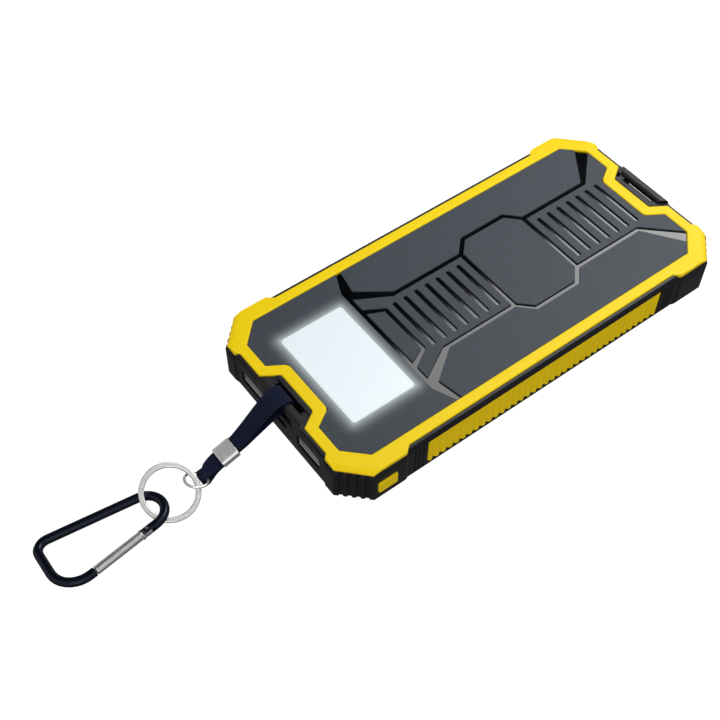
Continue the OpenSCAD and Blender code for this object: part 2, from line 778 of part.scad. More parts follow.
// Direction from a circle's middle to where its outer tangent to the next circle touches
function touch(a, b) = let(d = flat2(b) - flat2(a), f = atan2(d.y, d.x))
    f + acos((a.z - b.z) / norm(d));
function on_arc(a, t) = flat2(a) + a.z * [cos(t), sin(t)];
gate_side = touch(small_arc, wide_arc);
end_side = touch(wide_arc, back_arc);
spine_side = touch(back_arc, small_arc);
gate_top = on_arc(small_arc, gate_side);
gate_foot = on_arc(wide_arc, gate_side);
gate_line = unit(gate_foot - gate_top);
hinge_at = gate_top + gate_line * (gate_top.y - gate_y) / -gate_line.y;
nose_at = gate_top + gate_line * (gate_top.y - nose_y) / -gate_line.y;
gate_turn = atan2(gate_line.y, gate_line.x);

module rolled() {
    translate([0, 0, carabiner_z]) rotate([0, -carabiner_roll, 0]) children();
}
function arc_points(a, from, to) = let(turn = (to - from + 720) % 360, n = ceil(turn / 12))
    [for (i = [0:n]) on_arc(a, from + turn * i / n)];
module flat_rod(p, d, sides) {
    n = len(p);
    pts = [for (i = [0:n - 1])
        let(t = unit(p[min(i + 1, n - 1)] - p[max(i - 1, 0)]))
        for (k = [0:sides - 1]) let(c = d / 2 * [cos((k + 0.5) * 360 / sides),
            sin((k + 0.5) * 360 / sides)])
        [p[i].x - t.y * c.x, p[i].y + t.x * c.x, c.y]];
    polyhedron(points = pts, faces = concat(
        [[for (k = [0:sides - 1]) k], [for (k = [0:sides - 1]) sides * n - 1 - k]],
        [for (i = [0:n - 2], k = [0:sides - 1]) [sides * i + k, sides * (i + 1) + k,
            sides * (i + 1) + (k + 1) % sides, sides * i + (k + 1) % sides]]));
}
module along_gate(p) {
    translate([p.x, p.y, 0]) rotate([0, 0, gate_turn]) children();
}

rod_path = concat([nose_at],
    [for (q = [len(arc_points(wide_arc, end_side, gate_side)) - 1:-1:0])
        arc_points(wide_arc, end_side, gate_side)[q]],
    [for (q = [len(arc_points(back_arc, spine_side, end_side)) - 1:-1:0])
        arc_points(back_arc, spine_side, end_side)[q]],
    [for (q = [len(arc_points(small_arc, gate_side, spine_side)) - 1:-1:0])
        arc_points(small_arc, gate_side, spine_side)[q]],
    [hinge_at + gate_line * 1.4]);
module carabiner_body() {
    color("#0c1020") rolled() difference() {
        flat_rod(rod_path, rod_d, 12);
        along_gate(hinge_at) brick([5.4, rod_d + 1, 1.9], [0.2, 0, -0.95]);
        along_gate(hinge_at) translate([0, 0, -3]) cylinder(r = 0.5, h = 6, $fn = 24);
    }
}

module carabiner_gate() {
    long = norm(nose_at - hinge_at) - 0.4;
    color("#c3c6c9") rolled() along_gate(hinge_at) difference() {
        union() {
            brick([3.7, 2.8, 1.6], [0.65, 0, -0.8]);
            translate([2.3, 0, 0]) rotate([0, 90, 0]) cylinder(d = rod_d - 0.2, h = long - 2.3);
        }
        translate([0, 0, -3]) cylinder(r = 0.56, h = 6, $fn = 24);
    }
}

module gate_pin() {
    color("#9a9ca0") rolled() along_gate(hinge_at) translate([0, 0, -1.75])
        cylinder(r = 0.5, h = 3.5, $fn = 24);
}

upper_shell();
lower_shell();
shell_seal();
case_screws();
upper_frame();
lower_frame();
face_base();
lamp_plate();
lamp_trim_plate();
front_slotted_plate();
centre_plate();
rear_slotted_plate();
left_face_plate();
right_face_plate();
lamp_lens();
lamp_board();
lamp_leds();
lamp_wires();
solar_cover();
solar_cells();
solar_backing();
solar_wires();
left_grip();
right_grip();
battery_left();
battery_right();
battery_pads();
battery_wires();
main_board();
usb_shell_left();
usb_shell_right();
usb_core_left();
usb_core_right();
micro_usb_shell();
micro_usb_core();
charge_chips();
coils();
capacitors();
power_switch();
switch_plunger();
power_button();
strap();
strap_crimp();
small_ring();
split_ring();
carabiner_body();
carabiner_gate();
gate_pin();
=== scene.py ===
"""A rugged solar power bank with its lanyard: looks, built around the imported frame."""

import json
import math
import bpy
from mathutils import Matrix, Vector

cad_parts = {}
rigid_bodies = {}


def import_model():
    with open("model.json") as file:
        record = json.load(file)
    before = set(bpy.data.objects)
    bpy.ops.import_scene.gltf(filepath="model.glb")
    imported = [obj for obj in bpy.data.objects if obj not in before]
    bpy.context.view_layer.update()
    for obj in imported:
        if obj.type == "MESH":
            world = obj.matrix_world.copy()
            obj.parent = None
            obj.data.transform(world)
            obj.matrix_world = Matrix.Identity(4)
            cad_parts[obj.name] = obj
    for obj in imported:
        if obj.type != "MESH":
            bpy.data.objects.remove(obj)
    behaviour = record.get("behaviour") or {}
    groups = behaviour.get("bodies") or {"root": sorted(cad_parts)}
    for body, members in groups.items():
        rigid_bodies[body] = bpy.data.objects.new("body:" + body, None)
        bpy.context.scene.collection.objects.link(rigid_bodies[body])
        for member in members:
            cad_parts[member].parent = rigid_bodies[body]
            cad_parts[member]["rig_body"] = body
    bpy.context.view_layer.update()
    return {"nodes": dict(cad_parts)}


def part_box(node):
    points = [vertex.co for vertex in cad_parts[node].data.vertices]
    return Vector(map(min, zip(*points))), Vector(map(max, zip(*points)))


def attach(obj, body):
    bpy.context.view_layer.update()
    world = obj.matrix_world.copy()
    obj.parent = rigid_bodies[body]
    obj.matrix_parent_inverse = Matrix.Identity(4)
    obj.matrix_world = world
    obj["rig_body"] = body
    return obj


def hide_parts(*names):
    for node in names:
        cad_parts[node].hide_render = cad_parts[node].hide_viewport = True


bl_info = {
    "name": "Solar power bank",
    "version": (1, 0, 0),
    "blender": (4, 5, 0),
    "location": "View3D > Sidebar > Power bank",
    "description": "Builds a rugged solar power bank with its lamp, grips, ports and lanyard",
    "category": "Object",
}

import bmesh
import bpy
from bpy.props import FloatProperty, FloatVectorProperty, IntProperty, PointerProperty
from mathutils import Matrix, Vector

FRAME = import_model()
NODES = FRAME["nodes"]
MM = 0.001
MAIN_MATERIALS = {}

X_AXIS, Y_AXIS, Z_AXIS = 0, 1, 2
WHITE = (1, 1, 1, 1)


# ---------------------------------------------------------------- colours and nodes


def linear(colour):
    """An sRGB hex colour as linear red, green and blue, with alpha 1."""
    parts = [int(colour[i : i + 2], 16) / 255 for i in (0, 2, 4)]
    return [p / 12.92 if p <= 0.04045 else ((p + 0.055) / 1.055) ** 2.4 for p in parts] + [1]


def hexed(colour):
    """A gamma colour as hex text."""
    return "".join("%02x" % round(c * 255) for c in colour)


def scaled(colour, factor):
    """The linear colour made lighter or darker."""
    return [min(1, c * factor) for c in linear(colour)[:3]] + [1]


def tones(colour, dark, light):
    """Stops for a ramp from a darker to a lighter tone of one colour."""
    return [(0.3, scaled(colour, dark)), (0.7, scaled(colour, light))]


def feed(tree, node, **inputs):
    """Fills or links a node's inputs, by name or, as i0, i1 and so on, by number."""
    for key, value in inputs.items():
        numbered = key[0] == "i" and key[1:].isdigit()
        target = node.inputs[int(key[1:]) if numbered else key.replace("_", " ")]
        if isinstance(value, bpy.types.NodeSocket):
            tree.links.new(value, target)
        else:
            target.default_value = value
    return node


def add(tree, kind, settings=(), **inputs):
    """Adds one node, sets its options and feeds its inputs."""
    made = tree.nodes.new(kind)
    for key, value in dict(settings).items():
        setattr(made, key, value)
    return feed(tree, made, **inputs)


def maths(tree, operation, *values):
    """The result of one sum on numbers."""
    inputs = {f"i{k}": value for k, value in enumerate(values)}
    return add(tree, "ShaderNodeMath", {"operation": operation}, **inputs).outputs[0]


def vector_maths(tree, operation, *values, result="Vector"):
    """The result of one sum on vectors, itself a vector or a value."""
    inputs = {f"i{k}": value for k, value in enumerate(values)}
    return add(tree, "ShaderNodeVectorMath", {"operation": operation}, **inputs).outputs[result]


def fitted(tree, value, low, high, start=0.0, end=1.0):
    """A value between start and end, fitted to run from low to high."""
    return add(tree, "ShaderNodeMapRange", Value=value, From_Min=start, From_Max=end, To_Min=low,
               To_Max=high).outputs[0]


def noise(tree, place, size, detail=2.0, roughness=0.5):
    """Cloudy noise whose features have one size in mm."""
    return add(tree, "ShaderNodeTexNoise", Vector=place, Scale=1 / (size * MM), Detail=detail,
               Roughness=roughness).outputs["Fac"]


def cell_edges(tree, place, size, randomness):
    """How far each point is from the edge of its cell, for cells of one size in mm."""
    return add(tree, "ShaderNodeTexVoronoi", {"feature": "DISTANCE_TO_EDGE"}, Vector=place,
               Scale=1 / (size * MM), Randomness=randomness).outputs["Distance"]


def ramp(tree, factor, stops):
    """A colour ramp with stops of (place, linear colour)."""
    made = add(tree, "ShaderNodeValToRGB", Fac=factor)
    line = made.color_ramp
    while len(line.elements) < len(stops):
        line.elements.new(1)
    for element, (place, colour) in zip(line.elements, stops):
        element.position = place
        element.color = colour
    return made.outputs["Color"]


def relief(tree, height, strength, depth):
    """The normal of a surface with this pattern of heights. depth is in mm."""
    return add(tree, "ShaderNodeBump", Strength=strength, Distance=depth * MM,
               Height=height).outputs[0]


def new_surface(name, colour, roughness, metallic=0.0, ior=1.5):
    """A new material with its Principled BSDF, and the coordinates of the object in metres."""
    made = bpy.data.materials.new(name)
    made.use_nodes = True
    tree = made.node_tree
    tree.nodes.clear()
    shader = add(tree, "ShaderNodeBsdfPrincipled", Base_Color=linear(colour), Roughness=roughness,
                 Metallic=metallic, IOR=ior)
    add(tree, "ShaderNodeOutputMaterial", Surface=shader.outputs[0])
    place = add(tree, "ShaderNodeTexCoord").outputs["Object"]
    made.diffuse_color = linear(colour)
    return made, tree, shader, place


def grained(name, colour, roughness, grain, bump, spread=0.08, rough_spread=0.06, metallic=0.0,
            gleam=0.5):
    """A moulded or cast surface: a fine grain of a real size in mm, and slow changes of tone."""
    blotch = 14.0
    made, tree, shader, place = new_surface(name, colour, roughness, metallic)
    fine = noise(tree, place, grain, 3.0, 0.6)
    slow = noise(tree, place, blotch)
    mixed = maths(tree, "MULTIPLY", maths(tree, "ADD", fine, slow), 0.5)
    feed(tree, shader,
         Base_Color=ramp(tree, mixed, tones(colour, 1 - spread, 1 + spread)),
         Roughness=fitted(tree, slow, roughness - rough_spread, roughness + rough_spread),
         Specular_IOR_Level=gleam,
         Normal=relief(tree, fine, bump, grain / 4))
    return made


def brushed(name, colour, roughness, along, bump=0.25, grain=0.12):
    """Metal whose fine lines run along one axis."""
    made, tree, shader, place = new_surface(name, colour, roughness, 1.0)
    squeeze = [1.0, 1.0, 1.0]
    squeeze[along] = 0.04
    drawn = add(tree, "ShaderNodeMapping", Vector=place, Scale=squeeze).outputs[0]
    lines = noise(tree, drawn, grain)
    feed(tree, shader,
         Base_Color=ramp(tree, lines, tones(colour, 0.86, 1.05)),
         Roughness=fitted(tree, lines, roughness * 0.7, roughness * 1.4),
         Normal=relief(tree, lines, bump, 0.03))
    return made


# ---------------------------------------------------------------- materials by what they are


def make_materials(frame_colour, face_colour):
    """Makes every material once, named for the real one. The colours are hex text."""
    m = MAIN_MATERIALS
    # Moulded ABS: spark-eroded mould, so it is satin with a fine grain
    m["shell"] = grained("ABS, black, satin moulded", "101116", 0.4, 0.35, 0.2, gleam=0.3)
    m["yellow"] = grained("ABS, yellow, moulded", frame_colour, 0.36, 0.5, 0.08, spread=0.02,
                          rough_spread=0.03, gleam=0.15)
    m["grip"] = grained("Thermoplastic rubber, yellow, moulded", frame_colour, 0.5, 0.4, 0.15,
                        spread=0.03, gleam=0.15)
    m["face"] = face_material(face_colour)
    # Polished polycarbonate: the mould's mirror finish, hardly any grain
    m["gloss"] = grained("Polycarbonate, black, polished", "050608", 0.07, 0.8, 0.02,
                         rough_spread=0.02)
    m["lens"] = lamp_lens_material()
    m["anodised"] = grained("Aluminium, blue-black anodised", "0d1324", 0.27, 0.25, 0.05,
                            metallic=0.55)
    m["bare"] = brushed("Aluminium, drawn and brushed", "dfe1e3", 0.28, Y_AXIS, bump=0.05)
    m["nickel"] = brushed("Steel, nickel plated", "f4f4f2", 0.32, X_AXIS, bump=0.0, grain=0.3)
    m["steel"] = brushed("Steel, zinc plated", "9a9ca0", 0.35, Z_AXIS)
    m["webbing"] = webbing_material()
    m["cover_glass"] = cover_glass_material()
    m["cell"] = solar_cell_material()
    m["board"] = circuit_board_material()
    m["white_board"] = grained("Solder mask, white", "e9ebe6", 0.35, 0.2, 0.05)
    m["led"] = grained("Phosphor in silicone, yellow", "fbf3c8", 0.3, 0.2, 0.1)
    m["wire"] = grained("PVC, red, extruded", "a8231f", 0.4, 0.3, 0.05)
    m["pouch"] = grained("Aluminium laminate, matt", "b9bec4", 0.38, 0.6, 0.3, metallic=0.8)
    m["foam"] = grained("Polyurethane foam, charcoal", "33363c", 0.9, 0.4, 0.9)
    m["seal"] = grained("Silicone rubber, black", "2a2b30", 0.6, 0.3, 0.1)
    m["tongue"] = grained("Nylon, off-white, moulded", "e8e8e2", 0.42, 0.3, 0.08, spread=0.03)
    m["black"] = grained("Epoxy, black, moulded", "202226", 0.45, 0.2, 0.2)
    m["ferrite"] = grained("Ferrite, pressed", "3a3a3c", 0.6, 0.15, 0.4)
    m["can"] = grained("Aluminium can, sleeved", "c0b08a", 0.35, 0.3, 0.05)
    m["contact"] = brushed("Copper alloy, gold plated", "d9b25a", 0.22, Y_AXIS)


def face_material(colour):
    """Graphite ABS with a spark texture, and a painted glow of the lamp's light on the ABS next to the
    lens.
    """
    lens_rim = 0.4 * MM
    painted_glow_reach = 9 * MM
    made, tree, shader, place = new_surface("ABS, graphite, fine spark texture, painted lamp glow", colour, 0.5)
    spark = noise(tree, place, 0.32, 3.0)
    low, high = (Vector(corner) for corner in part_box("lamp_lens"))
    half = (high - low) / 2
    # How far a point is outside the lens's outline. The third side is taken as longer than any part.
    away = vector_maths(tree, "ABSOLUTE", vector_maths(tree, "SUBTRACT", place, (low + high) / 2))
    outline = (half.x - lens_rim, half.y - lens_rim, 1)
    past = vector_maths(tree, "MAXIMUM", vector_maths(tree, "SUBTRACT", away, outline), (0, 0, 0))
    # Painted glow: full inside the lens's outline, fading to nothing 9 mm out. The ABS emits it in place
    # of the lamp's light falling on it.
    near = fitted(tree, vector_maths(tree, "LENGTH", past, result="Value"), 1.0, 0.0, 0.0, painted_glow_reach)
    feed(tree, shader,
         Base_Color=ramp(tree, spark, tones(colour, 0.78, 1.22)),
         Specular_IOR_Level=0.25,
         Normal=relief(tree, spark, 0.35, 0.06),
         Emission_Color=linear("e9f4f8"),
         Emission_Strength=maths(tree, "MULTIPLY", maths(tree, "POWER", near, 4.0), 0.6))
    return made


def lamp_lens_material():
    """Opal polycarbonate with a fine prism pattern on a 1.1 mm pitch, lit from behind."""
    made, tree, shader, place = new_surface("Polycarbonate, opal, prismatic", "3a3f41", 0.3,
                                            ior=1.58)
    turned = add(tree, "ShaderNodeMapping", Vector=place, Rotation=(0, 0, math.radians(45)))
    prisms = cell_edges(tree, turned.outputs[0], 1.1, 0.0)
    feed(tree, shader,
         Emission_Color=ramp(tree, prisms, [(0.0, linear("cfdde3")), (0.16, linear("feffff"))]),
         Emission_Strength=1.0,
         Normal=relief(tree, prisms, 0.5, 0.2))
    return made


def webbing_material():
    """Woven polyester, its threads 0.6 mm apart along the strap and 0.8 mm across it, on its UVs."""
    made, tree, shader, place = new_surface("Polyester webbing, navy, woven", "061535", 0.72)
    flat = add(tree, "ShaderNodeUVMap", {"uv_map": "weave"}).outputs[0]
    # At a Scale of 1 / 3.1416 the wave repeats about once for each metre of the UVs
    ribs = [add(tree, "ShaderNodeTexWave", {"bands_direction": way, "wave_profile": "SIN"}, Vector=flat,
                Scale=1 / (pitch * MM) / 3.1416, Distortion=distortion, Detail=1.0).outputs["Fac"]
            for way, pitch, distortion in (("Y", 0.6, 0.4), ("X", 0.8, 0.3))]
    woven = maths(tree, "MULTIPLY", *ribs)
    fuzzy = maths(tree, "MULTIPLY_ADD", noise(tree, place, 0.4, 3.0), 0.4, woven)
    feed(tree, shader,
         Base_Color=ramp(tree, fuzzy, [(0.1, linear("010819")), (0.8, linear("051536"))]),
         Specular_IOR_Level=0.2,
         Normal=relief(tree, fuzzy, 0.8, 0.18))
    return made


def cover_glass_material():
    """Tempered glass over the cells: clear, with a faint dimple of the rolled sheet."""
    made, tree, shader, place = new_surface("Tempered glass, clear", "dfe8f2", 0.04, ior=1.52)
    dimple = noise(tree, place, 1.2, 1.0)
    feed(tree, shader, Transmission_Weight=0.94, Normal=relief(tree, dimple, 0.05, 0.05))
    return made


def solar_cell_material():
    """Monocrystalline silicon: blue-black, with silver fingers 2.2 mm apart and bars 11.9 mm apart."""
    made, tree, shader, place = new_surface("Silicon cell, blue, printed fingers", "131c3c", 0.3,
                                            metallic=0.35)
    split = add(tree, "ShaderNodeSeparateXYZ", Vector=place)
    lines = []
    for axis, pitch, share in (("X", 2.2, 0.07), ("Y", 11.9, 0.06)):
        turns = maths(tree, "MULTIPLY", split.outputs[axis], 1 / (pitch * MM))
        lines.append(maths(tree, "LESS_THAN", maths(tree, "FRACT", turns), share))
    printed = maths(tree, "MAXIMUM", *lines)
    silicon = ramp(tree, noise(tree, place, 20.0), [(0.3, linear("101836")), (0.7, linear("1b2850"))])
    # Inputs 6 and 7 and output 2 are the Mix node's colours
    mixed = add(tree, "ShaderNodeMix", {"data_type": "RGBA"}, Factor=printed, i6=silicon,
                i7=linear("b8bdc6"))
    feed(tree, shader, Base_Color=mixed.outputs[2])
    return made


def circuit_board_material():
    """Green solder mask over copper tracks about 4 mm apart."""
    made, tree, shader, place = new_surface("Solder mask, green, over copper", "1d5a3a", 0.3)
    tracks = cell_edges(tree, place, 4.0, 0.35)
    feed(tree, shader,
         Base_Color=ramp(tree, tracks, [(0.05, linear("2c7a50")), (0.12, linear("184e33"))]),
         Normal=relief(tree, tracks, 0.2, 0.05))
    return made


# ---------------------------------------------------------------- making pieces


def give(obj, key):
    """One material on the whole object."""
    obj.data.materials.clear()
    obj.data.materials.append(MAIN_MATERIALS[key])


def placed(name, data):
    """A new object in the scene."""
    made = bpy.data.objects.new(name, data)
    bpy.context.scene.collection.objects.link(made)
    return made


def mesh_from(bm, name):
    """A mesh made from a bmesh, which is then freed."""
    mesh = bpy.data.meshes.new(name)
    bm.to_mesh(mesh)
    bm.free()
    return mesh


def piece_from(bm, name, key, body, angle=35):
    """Turns a bmesh into a piece that rides on a body, smooth but for its sharp edges."""
    mesh = mesh_from(bm, name)
    mesh.shade_smooth()
    mesh.set_sharp_from_angle(angle=math.radians(angle))
    made = placed(name, mesh)
    even = made.modifiers.new("even shading", "WEIGHTED_NORMAL")
    even.keep_sharp = True
    even.weight = 100
    give(made, key)
    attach(made, body)
    return made


def merged(node, flat=0.6, cuts=()):
    """The node's mesh with its corners joined and its flat areas made whole again.

    Faces that turn by less than flat degrees are one area. An area with a hole is left in parts,
    divided at the cuts: pairs of an axis and a place on it in mm.
    """
    bm = bmesh.new()
    bm.from_mesh(NODES[node].data)
    bmesh.ops.remove_doubles(bm, verts=bm.verts, dist=0.002 * MM)
    bmesh.ops.dissolve_degenerate(bm, edges=bm.edges, dist=0.002 * MM)
    for axis, place in cuts:
        normal = Vector([k == axis for k in range(3)])
        made = bmesh.ops.bisect_plane(bm, geom=bm.verts[:] + bm.edges[:] + bm.faces[:],
                                      dist=0.0005 * MM, plane_co=normal * place * MM,
                                      plane_no=normal)
        for item in made["geom_cut"]:
            if isinstance(item, bmesh.types.BMEdge):
                item.seam = True
    bmesh.ops.dissolve_limit(bm, angle_limit=math.radians(flat), verts=bm.verts, edges=bm.edges,
                             delimit={"SEAM"})
    return bm


def sharp_edges(bm, angle):
    """The edges that turn by more than an angle in degrees."""
    return [e for e in bm.edges if len(e.link_faces) == 2 and e.calc_face_angle(0) > math.radians(angle)]


def rounded(bm, edges, radius, segments, clamp=False):
    """Rounds edges by a radius in mm."""
    bmesh.ops.bevel(bm, geom=edges, offset=radius * MM, offset_type="OFFSET", segments=segments,
                    profile=0.5, affect="EDGES", clamp_overlap=clamp, material=-1)


def smooth_copy(node, name, key, flat=0.6, angle=40):
    """A copy of the node with its form kept and its shading smooth."""
    made = piece_from(merged(node, flat), name, key, NODES[node]["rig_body"], angle)
    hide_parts(node)
    return made


def eased(node, name, key, radius, segments=2, angle=32, cuts=(), plain=None):
    """A copy of the node whose sharp edges are rounded, as a mould leaves them. radius is in mm.

    Edges at the height plain, in mm, stay sharp: two parts meet there.
    """
    bm = merged(node, cuts=cuts)
    edges = sharp_edges(bm, angle)
    if plain is not None:
        edges = [e for e in edges if any(abs(v.co.z - plain * MM) > 0.02 * MM for v in e.verts)]
    rounded(bm, edges, radius, segments)
    bmesh.ops.remove_doubles(bm, verts=bm.verts, dist=0.001 * MM)
    made = piece_from(bm, name, key, NODES[node]["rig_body"], 30)
    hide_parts(node)
    return made


# ---------------------------------------------------------------- sizes that a user may change


class StageSizes(bpy.types.PropertyGroup):
    """Where the camera stands, and the main light"""

    azimuth: FloatProperty(
        name="Azimuth", description="Camera's turn about the object",
        default=math.radians(53.18), unit="ROTATION")
    elevation: FloatProperty(
        name="Elevation", description="Camera's height above the horizon",
        default=math.radians(53.19), unit="ROTATION")
    distance: FloatProperty(
        name="Distance", description="Camera's distance from its target",
        default=0.41909, unit="LENGTH")
    target: FloatVectorProperty(
        name="Target", description="Point that the camera looks at",
        default=(0.00157, -0.05514, 0.0174), unit="LENGTH")
    lens: FloatProperty(
        name="Lens", description="Focal length in millimetres", default=58.62, unit="CAMERA")
    key_power: FloatProperty(
        name="Panel light", description="Power of the large panel light", default=3.2, unit="POWER")


class CaseSizes(bpy.types.PropertyGroup):
    """The case's colours, and how far its edges are rounded"""

    frame_colour: FloatVectorProperty(
        name="Frame", description="Colour of frames, grips and button",
        default=(1.0, 0.863, 0.055), subtype="COLOR_GAMMA")
    face_colour: FloatVectorProperty(
        name="Face", description="Colour of the face plates",
        default=(0.222, 0.246, 0.276), subtype="COLOR_GAMMA")
    frame_edge: FloatProperty(
        name="Frame edge", description="Rounding of the frames' edges, in mm", default=0.45)
    shell_edge: FloatProperty(
        name="Shell edge", description="Rounding of the shells' edges, in mm", default=0.18)
    plate_edge: FloatProperty(
        name="Plate edge", description="Rounding of the face plates' edges, in mm", default=0.14)


class LanyardSizes(bpy.types.PropertyGroup):
    """The webbing's sizes"""

    webbing_length: FloatProperty(
        name="Webbing", description="Length of the webbing", default=0.0893, unit="LENGTH")
    webbing_across: FloatProperty(
        name="Size across", description="Webbing's size as a cord, between its width and thickness",
        default=0.0045, unit="LENGTH")
    webbing_thickness: FloatProperty(
        name="Thickness", description="Thickness of the webbing", default=0.001, unit="LENGTH")
    steps: IntProperty(
        name="Steps", description="Steps along each length of the route", default=4)


# ---------------------------------------------------------------- stage


def aim(obj, way):
    """Turns a camera or light to look along a direction."""
    obj.rotation_mode = "QUATERNION"
    obj.rotation_quaternion = way.to_track_quat("-Z", "Y")


def staged_sheet(name, wide, long, material):
    """A plain rectangle about its middle, which belongs to the stage."""
    bm = bmesh.new()
    bmesh.ops.create_grid(bm, x_segments=1, y_segments=1, size=0.5)
    bmesh.ops.scale(bm, verts=bm.verts, vec=(wide, long, 1))
    made = placed(name, mesh_from(bm, name))
    made.data.materials.append(material)
    return made


class SOLARBANK_OT_stage(bpy.types.Operator):
    """Camera, pale floor, panel light and soft sky"""

    bl_idname = "solarbank.stage"
    bl_label = "Stage"

    floor_side = 6.0
    panel_place = (-0.149, 0.439, 0.6)
    panel_turn = math.radians(6.3)
    panel_size = (0.4, 0.7)
    side_place = (0.75, -0.55, 0.5)
    side_size = (0.7, 0.5)
    side_power = 1.4

    def execute(self, context):
        sizes = context.scene.solarbank_stage
        self.camera(context, sizes)
        self.floor()
        panel = self.light("panel light", sizes.key_power, self.panel_place, self.panel_size)
        panel.rotation_euler.z = self.panel_turn
        panel.visible_glossy = False
        side = self.light("side light", self.side_power, self.side_place, self.side_size)
        aim(side, -Vector(self.side_place))
        self.card()
        context.scene.world = self.sky()
        return {"FINISHED"}

    def camera(self, context, sizes):
        """The camera, on a line from its target at the azimuth and the elevation."""
        cam = placed("camera", bpy.data.cameras.new("camera"))
        level = math.cos(sizes.elevation)
        back = Vector((math.sin(sizes.azimuth) * level, -math.cos(sizes.azimuth) * level,
                       math.sin(sizes.elevation)))
        cam.location = Vector(sizes.target) + back * sizes.distance
        aim(cam, -back)
        cam.data.lens = sizes.lens
        cam.data.sensor_width = 36
        cam.data.clip_start = 0.01
        cam.data.clip_end = 30
        context.scene.camera = cam
        context.scene.view_settings.view_transform = "Standard"

    def floor(self):
        """White paper just below the object, lit from itself so that it stays even."""
        paper, tree, shader, _ = new_surface("Paper, white, matt", "ffffff", 0.9)
        feed(tree, shader, Emission_Color=WHITE, Emission_Strength=1.0,
             Base_Color=(0.25, 0.25, 0.25, 1))
        floor = staged_sheet("floor", self.floor_side, self.floor_side, paper)
        floor.location.z = -0.02 * MM
        floor.visible_diffuse = floor.visible_glossy = False

    def light(self, name, power, place, size):
        """A rectangular light, facing down."""
        data = bpy.data.lights.new(name, "AREA")
        data.shape = "RECTANGLE"
        data.energy = power
        data.size, data.size_y = size
        made = placed(name, data)
        made.location = place
        return made

    def card(self):
        """A bright card that only shows in reflections, where the panel light is."""
        wide, long = self.panel_size
        paper = bpy.data.materials.new("Card, white, lit")
        paper.use_nodes = True
        tree = paper.node_tree
        tree.nodes.clear()
        place = add(tree, "ShaderNodeTexCoord").outputs["Object"]
        along = add(tree, "ShaderNodeSeparateXYZ", Vector=place).outputs["Y"]
        # Dimmer towards the near end
        power = fitted(tree, along, 3.0, 10.0, -long / 2, long / 2)
        glow = add(tree, "ShaderNodeEmission", Strength=power)
        add(tree, "ShaderNodeOutputMaterial", Surface=glow.outputs[0])
        made = staged_sheet("card", wide, long, paper)
        made.location = self.panel_place
        made.rotation_euler.z = self.panel_turn
        made.visible_camera = made.visible_diffuse = False
        made.visible_shadow = made.visible_transmission = False

    def sky(self):
        """A soft white room with a dark flag where the polished floor of the face looks."""
        world = bpy.data.worlds.new("sky")
        world.use_nodes = True
        tree = world.node_tree
        look = add(tree, "ShaderNodeTexCoord").outputs["Generated"]
        to_flag = vector_maths(tree, "DOT_PRODUCT", look, (-0.48, 0.36, 0.8), result="Value")
        flag = fitted(tree, to_flag, 0.64, 0.02, 0.72, 0.86)
        # Below the horizon the table hides the room
        height = add(tree, "ShaderNodeSeparateXYZ", Vector=look).outputs["Z"]
        table = fitted(tree, height, 0.25, 1.0, -0.1, 0.05)
        feed(tree, tree.nodes["Background"], Color=WHITE, Strength=maths(tree, "MULTIPLY", flag, table))
        return world


# ---------------------------------------------------------------- lanyard

# Each point of the webbing's route: y, z, x and width, in millimetres
STRAP_X = -1.5
STRAP_W = 8.8
CRIMPED_W = 6.6
END_W = 4.71
STRAP_ROUTE = [
    [-86.5, 14.97, STRAP_X, STRAP_W], [-88.4, 14.95, STRAP_X, 8.6], [-90.4, 14.8, STRAP_X, 8.4],
    [-92.6, 14.1, -1.4, 8], [-95.5, 12.7, -1.3, 7.6], [-98.5, 11.2, -1.2, 7.3],
    [-102, 9.5, -1.1, 7], [-105, 8.05, -1, 6.8], [-108, 7.05, -0.9, CRIMPED_W],
    [-111.5, 6, -0.7, CRIMPED_W], [-115.2, 4.9, -0.4, CRIMPED_W],
    [-118, 3.9, -0.1, 6.4], [-120.4, 1.6, 0.3, 5.56], [-121.59, 0.6, 0.85, END_W],
    [-122.89, 0.72, 0.85, END_W], [-123.47, 1.35, 0.85, END_W],
    [-123.47, 3.86, 0.85, END_W], [-122.89, 4.49, 0.85, END_W],
    [-121.59, 4.61, 0.85, END_W], [-120.2, 4.86, 0.3, 5.56], [-117.8, 5.35, -0.1, 6.4],
    [-115.2, 6, -0.4, CRIMPED_W],
    [-111.5, 7.13, -0.7, CRIMPED_W], [-108, 8.2, -0.9, CRIMPED_W],
    [-105.5, 9.5, -1, 6.8], [-102.5, 11.6, -1.1, 7], [-99, 14.2, -1.2, 7.3],
    [-96, 16.4, -1.3, 7.6], [-93, 18.3, -1.4, 8], [-91, 19.2, STRAP_X, 8.2],
    [-89.3, 19.5, STRAP_X, 8.5], [-87.6, 19.5, STRAP_X, STRAP_W],
    [-86.2, 19.25, STRAP_X, STRAP_W], [-85.4, 18.5, STRAP_X, STRAP_W],
    [-85.3, 17.2, STRAP_X, STRAP_W], [-85.35, 16.1, STRAP_X, STRAP_W],
    [-85.75, 15.35, STRAP_X, STRAP_W]]


def smooth_route(route, steps):
    """More points on a smooth curve through the route's own, in metres."""
    out = []
    last = len(route) - 1
    for i in range(last):
        p0, p1, p2, p3 = (Vector(route[max(0, min(last, i + k))]) for k in (-1, 0, 1, 2))
        for k in range(steps):
            t = k / steps
            out.append(0.5 * (2 * p1 + (p2 - p0) * t + (2 * p0 - 5 * p1 + 4 * p2 - p3) * t * t
                              + (3 * p1 - p0 - 3 * p2 + p3) * t ** 3) * MM)
    return out + [Vector(route[-1]) * MM]


